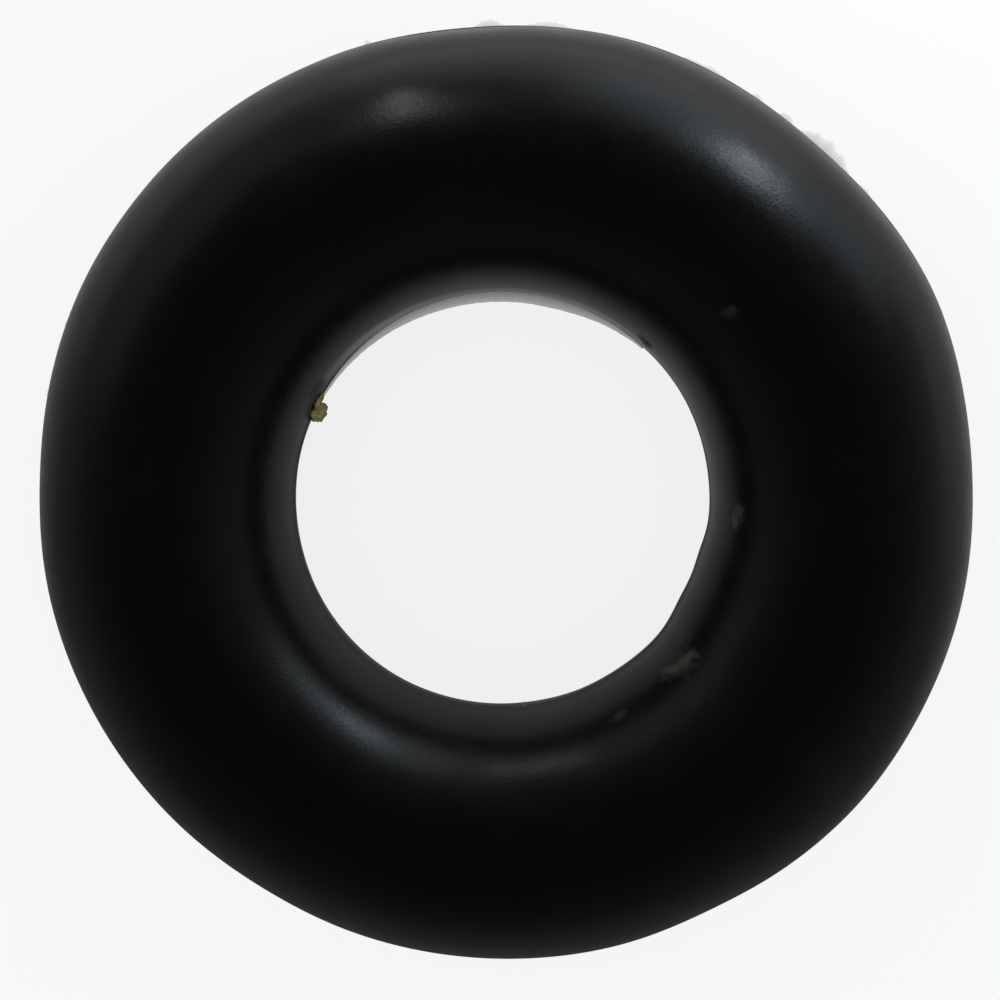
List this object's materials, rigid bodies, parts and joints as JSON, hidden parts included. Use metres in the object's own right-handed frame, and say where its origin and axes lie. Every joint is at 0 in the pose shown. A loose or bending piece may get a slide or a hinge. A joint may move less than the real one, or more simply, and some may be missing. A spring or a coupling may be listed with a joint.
{
  "type": "o-ring",
  "caption": "Small thick O-ring of black rubber: a round section run in a circle, with a thin trimmed line of mould flash round the outside and round the hole.",
  "frame": {"origin": "centre of the hole, on the plane that the ring lies on", "axes": "+Z along the ring's axis, up from the surface it lies on; the ring is the same all round, so +X and +Y lie anywhere across it"},
  "size_m": [0.0066, 0.0066, 0.0018],
  "materials": {
    "black_rubber": "satin"
  },
  "bodies": {
    "root": {"o_ring": "black_rubber"}
  },
  "joints": []
}
